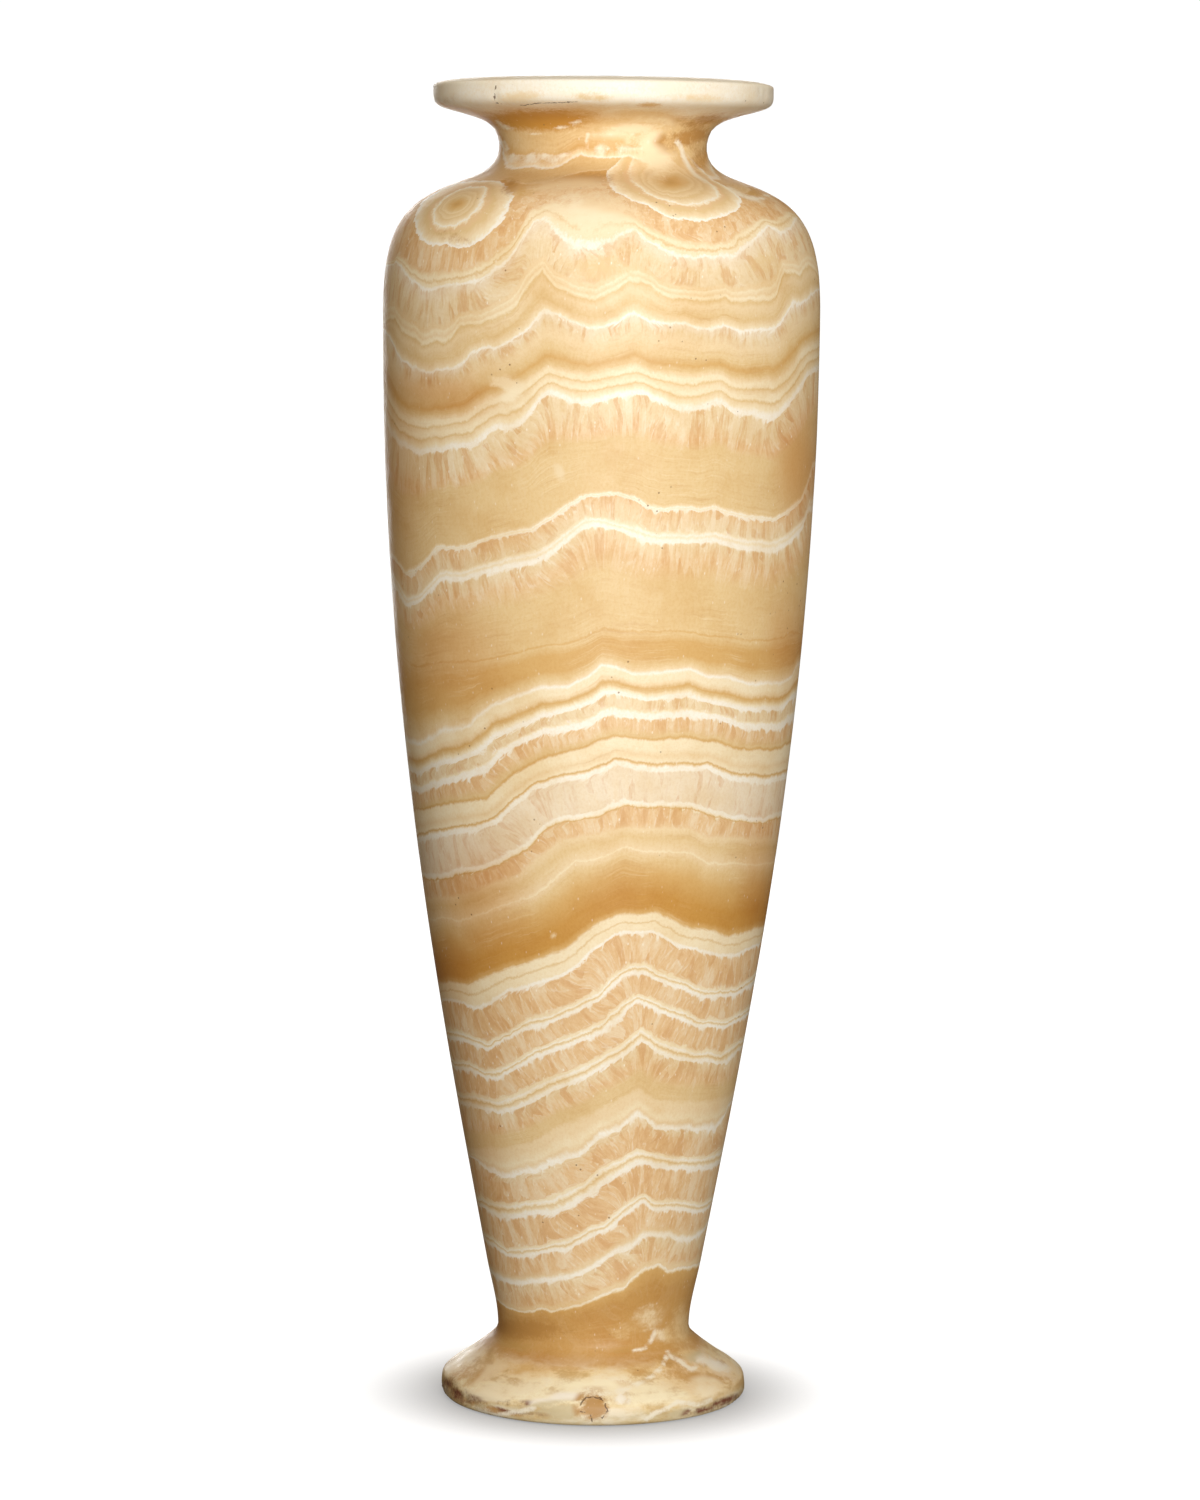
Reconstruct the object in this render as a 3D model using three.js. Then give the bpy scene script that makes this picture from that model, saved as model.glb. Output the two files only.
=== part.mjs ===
// A tall footed vase of banded alabaster, carved and drilled from one block: a low spreading foot, a long
// body that widens upwards, a high round shoulder, a short neck and a wide flat rim.
// Millimetres, +Z up, with the origin at the centre of the underside.

import * as THREE from "three";

// Heights, each one counted from the top of the one before, from the ground up
const footEdgeHeight = 2;
const footSlopeHeight = 17.7;
const bodyHeight = 311.9;
const shoulderHeight = 38.7;
const lowerNeckHeight = 9.7;
const upperNeckHeight = 11.3;
const rimUnderEdge = 3.2;
const rimBand = 3.3;
const rimUpperEdge = 2.2;

// Radii of the outside
const baseRadius = 44.8;
const footRadius = 46.7;
const creaseRadius = 28.9;
const bodyRadius = 65.8;
const shoulderFootRadius = 40.5;
const neckRadius = 31.1;
const rimUnderRadius = 47.8;
const rimRadius = 51;
const rimFlatRadius = 35;

// The stone left between outside and inside
const bodyWall = 9;
const neckWall = 9;
const solidBottom = 64;
const bottomRounding = 22;
const mouthEdge = 1.5;

// The rounded corner of the crease between foot and body, back from the crease along each side
const creaseRounding = 2.5;

// How full each curve is: the reach of its handles, as shares of the height or width that it spans
const footSwell = 0.42;
const footSlopeReach = 0.95;
const footSlopeDrop = 0.83;
const bodyLean = 0.18;
const bodyLowFullness = 0.258;
const bodyHighFullness = 0.428;
const shoulderFullness = 0.736;
const shoulderReach = 0.625;
const neckSlope = 0.35;
const lowerNeckReach = 0.58;
const lowerNeckFullness = 0.534;
const upperNeckFullness = 0.724;
const flareReach = 0.56;
const flareSlope = 0.3;
const roundness = 0.5523;

// Facets round the axis, and steps along each curve of the outside and the inside
const facets = 64;
const edgeSteps = 3;
const footSteps = 4;
const bodySteps = 12;
const shoulderSteps = 8;
const neckSteps = 4;
const insideBodySteps = 7;
const insideShoulderSteps = 5;
const insideNeckSteps = 3;
const bottomSteps = 4;

const footEdge = point(footRadius, footEdgeHeight);
const crease = point(creaseRadius, footEdge.y + footSlopeHeight);
const belly = point(bodyRadius, crease.y + bodyHeight);
const shoulderFoot = point(shoulderFootRadius, belly.y + shoulderHeight);
const neck = point(neckRadius, shoulderFoot.y + lowerNeckHeight);
const rimUnder = point(rimUnderRadius, neck.y + upperNeckHeight);
const rimLow = point(rimRadius, rimUnder.y + rimUnderEdge);
const rimHigh = point(rimRadius, rimLow.y + rimBand);
const rimFlat = point(rimFlatRadius, rimHigh.y + rimUpperEdge);

function point(radius, height) {
  return new THREE.Vector2(radius, height);
}

// A curve between two points whose ends head for the two handles, without its first point
function bend(start, leaving, arriving, end, steps) {
  return new THREE.CubicBezierCurve(start, leaving, arriving, end).getPoints(steps).slice(1);
}

// A quarter of an ellipse that leaves upright and arrives level
function roundOver(start, end, steps) {
  const leaving = point(start.x, start.y + roundness * (end.y - start.y));
  const arriving = point(end.x - roundness * (end.x - start.x), end.y);
  return bend(start, leaving, arriving, end, steps);
}

// A point on the way from one point to another, at a set distance
function towards(start, end, distance) {
  return end.clone().sub(start).setLength(distance).add(start);
}

// The handles of the two curves that meet at the crease
function footSlopeHandle() {
  const reach = footSlopeReach * (footRadius - creaseRadius);
  return point(creaseRadius + reach, crease.y - footSlopeDrop * footSlopeHeight);
}

function bodyHandle() {
  const low = bodyLowFullness * bodyHeight;
  return point(creaseRadius + bodyLean * low, crease.y + low);
}

// The foot: a flat underside, a rounded edge, a slope and the rounded crease
function footProfile() {
  const base = point(baseRadius, 0);
  const roundedEdge = roundOver(footEdge, base, edgeSteps).reverse().slice(1);
  const slopeEnd = towards(crease, footSlopeHandle(), creaseRounding);
  const bodyStart = towards(crease, bodyHandle(), creaseRounding);
  const slope = bend(
    footEdge,
    point(footRadius, footEdge.y + footSwell * footSlopeHeight),
    footSlopeHandle(),
    slopeEnd,
    footSteps,
  );
  const corner = new THREE.QuadraticBezierCurve(slopeEnd, crease, bodyStart).getPoints(edgeSteps);
  return [point(0, 0), base, ...roundedEdge, footEdge, ...slope, ...corner.slice(1)];
}

// The body, from above the crease to its widest line
function bodyProfile(steps) {
  return bend(
    towards(crease, bodyHandle(), creaseRounding),
    bodyHandle(),
    point(bodyRadius, belly.y - bodyHighFullness * bodyHeight),
    belly,
    steps,
  );
}

// The shoulder, from the widest line to where the curve turns hollow
function shoulderProfile(steps) {
  const reach = shoulderReach * (bodyRadius - shoulderFootRadius);
  return bend(
    belly,
    point(bodyRadius, belly.y + shoulderFullness * shoulderHeight),
    point(shoulderFootRadius + reach, shoulderFoot.y - neckSlope * reach),
    shoulderFoot,
    steps,
  );
}

// The hollow curve from the shoulder to the narrowest line of the neck
function lowerNeckProfile(steps) {
  const reach = lowerNeckReach * (shoulderFootRadius - neckRadius);
  return bend(
    shoulderFoot,
    point(shoulderFootRadius - reach, shoulderFoot.y + neckSlope * reach),
    point(neckRadius, neck.y - lowerNeckFullness * lowerNeckHeight),
    neck,
    steps,
  );
}

// The upper neck, which flares out under the rim
function upperNeckProfile(steps) {
  const reach = flareReach * (rimUnderRadius - neckRadius);
  return bend(
    neck,
    point(neckRadius, neck.y + upperNeckFullness * upperNeckHeight),
    point(rimUnderRadius - reach, rimUnder.y - flareSlope * reach),
    rimUnder,
    steps,
  );
}

// The rim: a rounded lower edge, an upright band and a softer upper edge that runs out into the flat top
function rimProfile() {
  const reach = roundness * (rimRadius - rimUnderRadius);
  const lowerEdge = bend(
    rimUnder,
    point(rimUnderRadius + reach, rimUnder.y + flareSlope * reach),
    point(rimRadius, rimLow.y - roundness * rimUnderEdge),
    rimLow,
    edgeSteps,
  );
  return [...lowerEdge, rimHigh, ...roundOver(rimHigh, rimFlat, edgeSteps)];
}

// A curve moved inwards by the wall, square to itself
function inset(outer, wall) {
  return outer.slice(1, -1).map((here, index) => {
    const along = outer[index + 2].clone().sub(outer[index]).normalize();
    return point(here.x - wall * along.y, here.y + wall * along.x);
  });
}

// The inside, from the flat top down to the axis: the drilled mouth, the hollow under the shoulder, the
// tapering well and its rounded bottom
function insideProfile() {
  const mouthRadius = neckRadius - neckWall;
  const top = rimFlat.y;
  const mouth = [
    point(mouthRadius + mouthEdge, top),
    point(mouthRadius, top - mouthEdge),
    point(mouthRadius, neck.y),
  ];
  const outer = [
    crease,
    ...bodyProfile(insideBodySteps),
    ...shoulderProfile(insideShoulderSteps),
    ...lowerNeckProfile(insideNeckSteps),
  ];
  const wellTop = solidBottom + bottomRounding;
  const well = inset(outer, bodyWall)
    .filter((here) => here.x > mouthRadius && here.y > wellTop && here.y < neck.y)
    .reverse();
  const [before, wellEnd] = well.slice(-2);
  const drop = roundness * (wellEnd.y - solidBottom);
  const bottom = bend(
    wellEnd,
    wellEnd.clone().sub(before).setLength(drop).add(wellEnd),
    point(roundness * wellEnd.x, solidBottom),
    point(0, solidBottom),
    bottomSteps,
  );
  return [...mouth, ...well, ...bottom];
}

function vase() {
  const profile = [
    ...footProfile(),
    ...bodyProfile(bodySteps),
    ...shoulderProfile(shoulderSteps),
    ...lowerNeckProfile(neckSteps),
    ...upperNeckProfile(neckSteps),
    ...rimProfile(),
    ...insideProfile(),
  ];
  const geometry = new THREE.LatheGeometry(profile, facets);
  geometry.rotateX(Math.PI / 2);
  const alabaster = new THREE.MeshStandardMaterial({ color: 0xe2c08c, roughness: 0.4, metalness: 0 });
  const mesh = new THREE.Mesh(geometry, alabaster);
  mesh.name = "vase";
  return mesh;
}

const group = new THREE.Group();
group.add(vase());

export default group;
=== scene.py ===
"""The looks of a tall alabaster vase: its ground surface, its veins, a pale floor and soft studio light.

The veins are read off the photograph as lines, in pixels, and thrown onto the vase through the camera that
took it. Round the back, which the photograph doesn't show, they run on in waves of the same kind.
"""

import math

import bpy
import numpy as np
from mathutils import Matrix


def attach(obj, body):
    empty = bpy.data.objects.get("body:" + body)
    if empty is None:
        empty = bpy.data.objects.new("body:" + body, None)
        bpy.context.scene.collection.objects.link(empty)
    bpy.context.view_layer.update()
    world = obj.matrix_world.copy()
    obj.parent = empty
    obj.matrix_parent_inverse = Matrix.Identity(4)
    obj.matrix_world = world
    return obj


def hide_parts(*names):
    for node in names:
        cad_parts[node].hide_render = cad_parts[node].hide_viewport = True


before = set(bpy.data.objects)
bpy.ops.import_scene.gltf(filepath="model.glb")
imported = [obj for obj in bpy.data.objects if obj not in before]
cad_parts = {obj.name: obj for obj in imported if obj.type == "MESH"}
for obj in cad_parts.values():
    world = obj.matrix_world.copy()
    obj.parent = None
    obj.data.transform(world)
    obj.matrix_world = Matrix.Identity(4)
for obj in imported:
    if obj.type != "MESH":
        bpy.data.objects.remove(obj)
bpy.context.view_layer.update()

MM = 0.001

# The photograph in pixels, and the camera that took it in millimetres and degrees. It sees 50 metres far
PHOTO_WIDTH = 1200
PHOTO_HEIGHT = 1500
FOCAL_LENGTH = 4834.5
CAMERA_PLACE = np.array([0.6, -1460.0, 353.0])
CAMERA_PITCH = 6.05
CAMERA_ROLL = 0.47
SENSOR = 36
FARTHEST = 50

# The mesh of the vase: steps round the front half and the back half, and rows of points along the outline.
# Below one height and above another, in millimetres, the rows are denser by a share
FRONT_STEPS = 200
BACK_STEPS = 120
OUTSIDE_ROWS = 262
INSIDE_ROWS = 30
UNDERSIDE_ROWS = 3
FINE_BELOW = 9
FINE_ABOVE = 387
FINE_SHARE = 1.2
OUTLINE_SAMPLES = 4000

WHITE = (1, 1, 1, 1)

# The floor: its radius and its gap under the vase in metres, its colour and glow to the camera, and its
# colour to the light that it throws back
FLOOR_RADIUS = 1.3
FLOOR_SIDES = 128
FLOOR_GAP = 0.0002
FLOOR_COLOUR = "#959595"
FLOOR_GLOW = 1.0
FLOOR_LIGHTING = (0.12, 0.11, 0.1, 1)

# The soft shadow painted into the floor's glow round the foot: its reach from the axis in metres, and the
# glow that is left in its depth
SHADE_REACH = (0.03, 0.085)
SHADE_GLOW = 0.2

# The lights: place, target and size in metres, power in watts, and colour where it isn't white
LIGHTS = {
    "key": ((0.37, -2.18, 0.42), (0, 0, 0.2), 1.2, 51, (0.975, 0.99, 1.02)),
    "top": ((0, -0.3, 1.7), (0, 0, 0.1), 1.4, 6),
    "back": ((-0.3, 2.3, 0.5), (0, 0, 0.2), 1.1, 26),
}

# The strength of the white that the camera sees behind the vase, and the dim light from all round
BEHIND = 1.05
ALL_ROUND = 0.19
ALL_ROUND_COLOUR = (1.0, 0.75, 0.46, 1)

# The front, either side of the middle, where the photograph shows the veins well, and where the unseen side
# starts and is whole, in degrees
SHOWN_TO = 82
UNSEEN = (70, 95)

# The least height between two veins and between two stops of the stone, in millimetres
VEIN_GAP = 0.3
STOP_GAP = 0.02

# How many stops go into one ramp node, which has room for 32
RAMP_STOPS = 31

# The veins' waves round the back: how high in millimetres, how many, where they start, and the height over
# which they drift by a radian
BACK_WAVES = [(5, 1.3, 0.12, 140), (2.6, 3.1, 0.4, -60)]

# The lobes that hang between upward points round the back: how many, how high in millimetres and how pointed,
# how far they shift and over what height, and how much of them is below the vein
LOBES_ROUND = 5.6
LOBES_HIGH = 4
LOBES_POINTED = 1.6
LOBES_SHIFT = 0.3
LOBES_DRIFT = 50
LOBES_BELOW = 1.2

# The share of the back at each side over which its waves set in
BACK_BLEND = 0.12

# How many meridians either side even out the way that crystals lean, and how far they reach in millimetres
ROOT_SMOOTHING = 14
CRYSTAL_REACH = 14

# Colours of the stone in full light. Each has how fibrous it is and how finely it is layered
STONES = {
    "white": ("#FFF7E4", 0.10, 0.0),
    "cream": ("#FAE8C2", 0.0, 0.35),
    "pale": ("#F3D9AC", 0.0, 0.7),
    "honey": ("#E9CA93", 0.1, 1.0),
    "deep": ("#DDB26F", 0.0, 0.9),
    "amber": ("#CF994B", 0.0, 0.3),
    "tan": ("#EDC997", 1.0, 0.0),
    "rose": ("#F0D8AC", 1.0, 0.0),
    "clear": ("#F4E2C4", 0.7, 0.0),
    "umber": ("#BC8A48", 0.2, 0.3),
    "orange": ("#CA9036", 0.0, 0.0),
    "grey": ("#D8C69C", 0.0, 0.0),
    "ochre": ("#CE9F5C", 0.1, 0.3),
    "straw": ("#F1D8A4", 0.0, 0.4),
    "ivory": ("#FFF2CC", 0.0, 0.2),
    "stain": ("#74321F", 0.0, 0.0),
}

# Tints that are laid over the stone, and the one that lies unseen between the patches
TINTS = {
    "crystal edge": "#FCF0DA",
    "light blade": "#F7E4C2",
    "dark blade": "#DCA970",
    "dark line": "#D0A064",
    "light line": "#F8E2B8",
    "sugar": "#F2E4C6",
    "cloud": "#EEDDBE",
    "milk": "#FCF1D6",
    "dull": "#C49A55",
    # also darkens the silhouettes and the rim's underside, as painted shade
    "golden_and_edge_shade": "#E2B266",
    "seam": "#FBF1D8",
    # white flecks of the stone, and painted glints off its fibres
    "fleck_and_glint": "#FFF3DC",
    "pit": "#7A5230",
    "crack": "#5E4127",
    "between patches": "#EAC488",
}

# The grains of the stone: how many waves or cells to the millimetre, across and along the axis
GRAINS = {
    "lobe": (1 / 9, 1 / 45),
    "scallop": (1 / 3.4, 1 / 20),
    "wobble": (0.5, 0.5),
    "crystal": (0.42, 0.085),
    "blade": (0.4, 0.075),
    "needle": (1.5, 0.22),
    "line": (0.06, 1.3),
    "faintness": (0.06, 0.06),
    "sugar": (1.3, 1.1),
    "cloud": (0.045, 0.06),
    "mottle": (0.08, 0.24),
    "eye edge": (0.35, 0.35),
    "patch edge": (0.3, 0.5),
    "fleck_and_glint": (0.5, 0.27),
    "fleck_and_glint_field": (0.11, 0.11),
    "pit": (0.24, 0.24),
    "pit field": (0.035, 0.035),
    "relief": (1.2, 1.2),
    "polish": (0.2, 0.2),
}

# How deep lobes, scallops and unsteady lines are, and how far crystals break the edges of the colours, in
# millimetres
LOBE_DEPTH = 0.9
SCALLOP_DEPTH = 0.55
WOBBLE = 0.9
BLADE_FRINGE = 7
NEEDLE_FRINGE = 1.1

# Heights in millimetres between which mottles on the foot and the rim set in
FOOT_MILKY = (19, 11)
RIM_MILKY = (386, 392)
FOOT_DULL = (22, 17)
FOOT_LESS_DULL = (14, 3)

# Shifts of the grains, which choose where the pits and their clusters fall
PIT_SHIFT = (5.1, 2.3, 7.7)
PIT_FIELD_SHIFT = (3.3, 0, 1.2)

# How far the cracks wander, and the distance from one beyond which it doesn't matter, in millimetres
CRACK_WANDER = 1.6
CRACK_LIMIT = 9.0

# The roughness of the polish, at its best and at its worst
ROUGHNESS = (0.42, 0.56)

# The stone over a double line and under it, and its two fine lines from the top line to the foot
DOUBLE_TOP = dict(
    above=[(0.9, "tan"), (0.3, "cream")],
    within=[(0.02, "cream"), (0.2, "white"), (0.36, "cream"), (0.45, "honey"), (0.54, "pale"),
            (0.64, "cream"), (0.78, "white"), (1, "white")],
)
DOUBLE_FOOT = dict(below=[(0.25, "white"), (0.9, "tan"), (4, "tan")])

# Each vein from the top down: its line in the photograph, the stone for some millimetres above and below it,
# and for a broad band the stone at shares of the way to the next line
VEINS = {
    "neck line": dict(
        line=[(502, 140), (505, 166), (518, 169), (533, 166), (548, 168), (561, 165), (571, 159), (582, 154),
              (594, 157), (606, 158), (625, 156)],
        above=[(5, "honey"), (2.2, "deep"), (0.9, "pale"), (0.4, "cream")],
        below=[(0, "white"), (0.4, "white"), (0.9, "honey")],
    ),
    "under the neck": dict(
        line=[(502, 181), (518, 185), (533, 185), (548, 183), (564, 178), (579, 174), (605, 170)],
        above=[(1, "honey"), (0.4, "pale")],
        below=[(0.2, "deep"), (2.5, "deep"), (5, "tan")],
    ),
    "shoulder band, top": dict(
        line=[(401, 256), (411, 267), (420, 273), (441, 273), (456, 271), (472, 268), (487, 261), (499, 252),
              (510, 242), (518, 232), (524, 218), (531, 210), (542, 206), (556, 203), (590, 205), (627, 214),
              (637, 220), (647, 226), (656, 232), (666, 237), (685, 240), (712, 243), (728, 242), (740, 232),
              (751, 225), (761, 217), (774, 220), (787, 211)],
        above=[(4, "tan"), (0.4, "tan")],
        within=[(0.08, "pale"), (0.25, "cream"), (0.4, "cream"), (0.5, "honey"), (0.58, "pale"),
                (0.66, "cream"), (0.85, "cream")],
    ),
    "shoulder band, foot": dict(
        line=[(385, 240), (391, 256), (398, 262), (411, 281), (424, 291), (435, 291), (449, 285), (466, 285),
              (479, 282), (493, 275), (507, 264), (518, 249), (527, 233), (533, 224), (542, 222), (556, 235),
              (573, 247), (585, 250), (597, 250), (606, 245), (620, 237), (634, 232), (651, 245), (671, 255),
              (682, 258), (712, 258), (725, 256), (737, 259), (745, 251), (752, 245), (760, 234), (768, 226),
              (775, 231), (783, 235), (790, 232), (794, 225), (800, 205)],
        below=[(-0.5, "white"), (0, "white"), (0.5, "clear"), (5, "rose")],
    ),
    "soft band": dict(
        line=[(394, 317), (402, 330), (411, 335), (423, 345), (434, 340), (446, 342), (454, 332), (459, 324),
              (482, 323), (494, 317), (507, 311), (518, 303), (524, 291), (533, 281), (542, 271), (553, 285),
              (564, 290), (579, 296), (594, 299), (610, 292), (621, 286), (631, 280), (640, 280), (651, 283),
              (659, 292), (671, 297), (688, 298), (703, 300), (715, 298), (725, 295), (731, 300), (769, 300),
              (777, 294), (780, 283), (784, 272), (794, 271), (800, 275), (807, 263)],
        above=[(5, "rose"), (4, "pale"), (3.2, "pale"), (2.5, "cream"), (1.2, "pale"), (0.5, "cream")],
        below=[(0, "cream"), (0.7, "honey"), (2, "pale")],
    ),
    "first thin line": dict(
        line=[(383, 327), (391, 340), (397, 353), (403, 361), (411, 367), (427, 373), (439, 370), (450, 370),
              (459, 367), (466, 361), (472, 353), (482, 349), (496, 348), (510, 341), (523, 333), (534, 324),
              (545, 311), (558, 316), (571, 323), (588, 329), (603, 327), (621, 321), (634, 313), (647, 320),
              (659, 324), (685, 324), (697, 329), (709, 330), (722, 326), (743, 332), (763, 330), (774, 329),
              (781, 324), (787, 314), (794, 301), (801, 305), (807, 300), (818, 289)],
        above=[(2.5, "honey"), (1.2, "pale"), (0.4, "cream")],
        below=[(0, "white"), (0.3, "white"), (0.8, "clear"), (3, "rose"), (6, "pale"), (10, "honey")],
    ),
    "triple band, top": dict(
        line=[(386, 383), (392, 399), (399, 410), (410, 416), (421, 418), (434, 416), (450, 416), (466, 412),
              (478, 404), (486, 399), (529, 378), (539, 372), (549, 365), (558, 369), (572, 373), (588, 375),
              (606, 370), (621, 368), (637, 364), (651, 370), (666, 373), (689, 375), (720, 372), (731, 378),
              (743, 381), (774, 379), (786, 372), (795, 361), (801, 350), (810, 344), (820, 338)],
        above=[(5, "honey"), (2.5, "deep"), (0.6, "honey")],
        within=[(0.04, "pale"), (0.14, "cream"), (0.24, "cream"), (0.31, "honey"), (0.36, "pale"),
                (0.5, "cream"), (0.57, "cream"), (0.64, "honey"), (0.7, "pale"), (0.82, "cream"),
                (0.93, "white")],
    ),
    "triple band, foot": dict(
        line=[(384, 412), (391, 435), (399, 443), (408, 447), (418, 454), (429, 451), (442, 451), (453, 447),
              (472, 447), (482, 442), (491, 432), (498, 428), (507, 429), (518, 426), (528, 416), (536, 405),
              (542, 396), (550, 392), (560, 397), (571, 404), (596, 404), (609, 399), (624, 397), (633, 393),
              (648, 395), (659, 402), (671, 409), (682, 411), (694, 410), (706, 408), (715, 403), (723, 404),
              (732, 412), (741, 415), (752, 415), (771, 422), (778, 418), (787, 407), (795, 396), (803, 386),
              (807, 376), (820, 367)],
        below=[(0, "white"), (0.3, "white"), (0.9, "rose"), (6, "rose"), (11, "tan"), (14, "honey")],
    ),
    "second thin line": dict(
        line=[(392, 555), (406, 574), (421, 566), (436, 548), (458, 548), (476, 542), (504, 534), (531, 529),
              (550, 517), (568, 505), (586, 496), (603, 494), (620, 494), (635, 497), (648, 506), (666, 510),
              (681, 506), (700, 510), (715, 506), (730, 513), (752, 516), (773, 519), (788, 511), (801, 500),
              (808, 482), (813, 464)],
        above=[(6, "honey"), (1.1, "honey"), (0.5, "pale"), (0.2, "cream")],
        below=[(0, "white"), (0.4, "cream"), (0.9, "white"), (1.3, "tan")],
    ),
    "bright line, top": dict(
        line=[(391, 570), (407, 598), (421, 592), (440, 572), (461, 571), (504, 557), (541, 549), (562, 534),
              (586, 517), (602, 519), (620, 525), (635, 525), (654, 532), (697, 534), (715, 531), (733, 537),
              (770, 540), (788, 534), (804, 519), (810, 500)],
        above=[(0.5, "rose")],
        within=[(0.08, "cream"), (0.3, "white"), (0.5, "cream"), (0.75, "white")],
    ),
    "bright line, foot": dict(
        line=[(395, 589), (406, 607), (418, 603), (430, 591), (441, 581), (461, 581), (482, 574), (507, 568),
              (531, 565), (550, 555), (565, 543), (580, 531), (594, 525), (620, 532), (645, 540), (666, 543),
              (684, 542), (700, 543), (715, 540), (730, 548), (755, 551), (773, 552), (788, 546), (801, 531),
              (808, 510)],
        below=[(-0.3, "white"), (0.2, "white"), (0.8, "rose"), (6, "tan"), (12, "honey")],
    ),
    "faint brown line": dict(
        line=[(473, 662), (511, 655), (546, 647), (575, 642), (602, 630), (622, 633), (693, 633), (722, 639),
              (763, 642)],
        above=[(2, "honey"), (0.5, "honey")],
        below=[(0, "deep"), (0.5, "honey"), (4, "deep")],
    ),
    "striped band, top": dict(
        line=[(408, 741), (423, 744), (446, 732), (470, 727), (478, 716), (496, 703), (520, 696), (543, 688),
              (569, 686), (590, 675), (602, 665), (619, 668), (634, 675), (663, 672), (690, 669), (710, 677),
              (731, 678), (751, 684), (781, 683), (792, 677), (798, 662)],
        above=[(6, "deep"), (3, "honey"), (1, "pale")],
        within=[(0.02, "white"), (0.12, "cream"), (0.3, "cream"), (0.45, "pale"), (0.58, "deep"),
                (0.7, "honey"), (0.8, "cream"), (0.9, "white")],
    ),
    "striped band, foot": dict(
        line=[(408, 771), (417, 775), (434, 768), (458, 763), (478, 754), (496, 738), (517, 730), (546, 718),
              (575, 709), (593, 703), (608, 694), (628, 697), (646, 702), (666, 699), (687, 697), (710, 705),
              (734, 709), (754, 712), (781, 710), (792, 700)],
        below=[(0, "white"), (0.5, "rose")],
    ),
    "white line": dict(
        line=[(414, 793), (429, 790), (458, 782), (487, 772), (502, 756), (522, 743), (546, 735), (575, 731),
              (593, 724), (610, 715), (631, 721), (663, 719), (693, 718), (716, 719), (737, 727), (757, 731),
              (781, 730), (792, 721)],
        above=[(2.7, "rose"), (2.1, "cream"), (1.5, "white")],
        below=[(0, "white"), (0.6, "tan"), (3, "tan")],
    ),
    "broad band, top": dict(
        line=[(415, 812), (437, 807), (464, 804), (487, 800), (502, 785), (520, 772), (546, 760), (575, 752),
              (599, 744), (615, 738), (634, 741), (663, 741), (687, 740), (713, 743), (731, 749), (751, 752),
              (781, 750), (791, 744)],
        above=[(1.2, "honey"), (0.4, "deep")],
        within=[(0.04, "cream"), (0.3, "cream"), (0.5, "pale"), (0.7, "cream"), (0.77, "deep"),
                (0.82, "pale"), (0.88, "white")],
    ),
    "broad band, foot": dict(
        line=[(418, 844), (434, 838), (458, 835), (476, 832), (496, 823), (517, 806), (534, 791), (561, 784),
              (587, 779), (605, 774), (616, 766), (634, 771), (663, 772), (693, 772), (707, 768), (719, 776),
              (740, 782), (763, 784), (784, 782), (789, 774)],
        below=[(0, "white"), (0.6, "clear"), (5, "clear")],
    ),
    "lower white line": dict(
        line=[(424, 876), (434, 879), (458, 873), (481, 869), (502, 862), (528, 847), (546, 829), (569, 820),
              (599, 815), (625, 806), (663, 806), (687, 806), (701, 809), (719, 816), (740, 820), (763, 822),
              (781, 815)],
        above=[(1.2, "clear"), (0.7, "white")],
        below=[(0, "white"), (0.5, "cream"), (0.9, "deep"), (1.3, "tan")],
    ),
    "start of the pale honey": dict(
        line=[(429, 898), (458, 897), (487, 885), (517, 876), (546, 853), (564, 841), (593, 835), (625, 829),
              (687, 829), (707, 838), (751, 838), (778, 838)],
        above=[(0.9, "tan")],
        below=[(0.5, "pale"), (3, "honey")],
    ),
    "hair line": dict(
        line=[(432, 920), (443, 917), (458, 922), (481, 914), (502, 906), (534, 897), (555, 882), (575, 863),
              (605, 857), (625, 848), (649, 853), (687, 853), (698, 857), (707, 864), (737, 864), (760, 866),
              (775, 862)],
        above=[(0.5, "pale")],
        below=[(0, "cream"), (0.4, "pale"), (2.5, "honey"), (7, "deep"), (14, "amber")],
    ),
    "lower band, top": dict(
        line=[(438, 984), (451, 983), (466, 985), (489, 976), (515, 966), (543, 959), (566, 948), (579, 938),
              (594, 925), (612, 918), (624, 914), (655, 914), (668, 919), (688, 928), (714, 932), (729, 937),
              (742, 934), (755, 929), (763, 927)],
        above=[(2.2, "amber"), (0.5, "deep")],
        within=[(0.08, "cream"), (0.38, "cream"), (0.45, "honey"), (0.53, "cream"), (0.85, "cream"),
                (0.92, "white")],
    ),
    "lower band, foot": dict(
        line=[(442, 1002), (456, 1002), (474, 1010), (489, 1006), (507, 994), (533, 987), (558, 979),
              (579, 966), (591, 952), (609, 941), (624, 933), (653, 933), (663, 939), (675, 946), (696, 951),
              (711, 956), (732, 957), (744, 952), (757, 947)],
        below=[(0, "white"), (0.5, "tan"), (4, "tan")],
    ),
    "first double line, top": dict(
        line=[(447, 1031), (459, 1031), (471, 1038), (489, 1043), (507, 1035), (528, 1022), (553, 1015),
              (579, 1002), (599, 994), (612, 979), (630, 966), (645, 965), (658, 974), (681, 980),
              (698, 988), (716, 992), (737, 988), (752, 979)],
        **DOUBLE_TOP,
    ),
    "first double line, foot": dict(
        line=[(448, 1039), (461, 1040), (476, 1045), (488, 1050), (502, 1040), (522, 1030), (533, 1031),
              (553, 1022), (579, 1010), (599, 1001), (612, 988), (624, 976), (642, 973), (655, 980),
              (681, 988), (701, 996), (716, 998), (737, 994), (752, 987)],
        **DOUBLE_FOOT,
    ),
    "second double line, top": dict(
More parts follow.
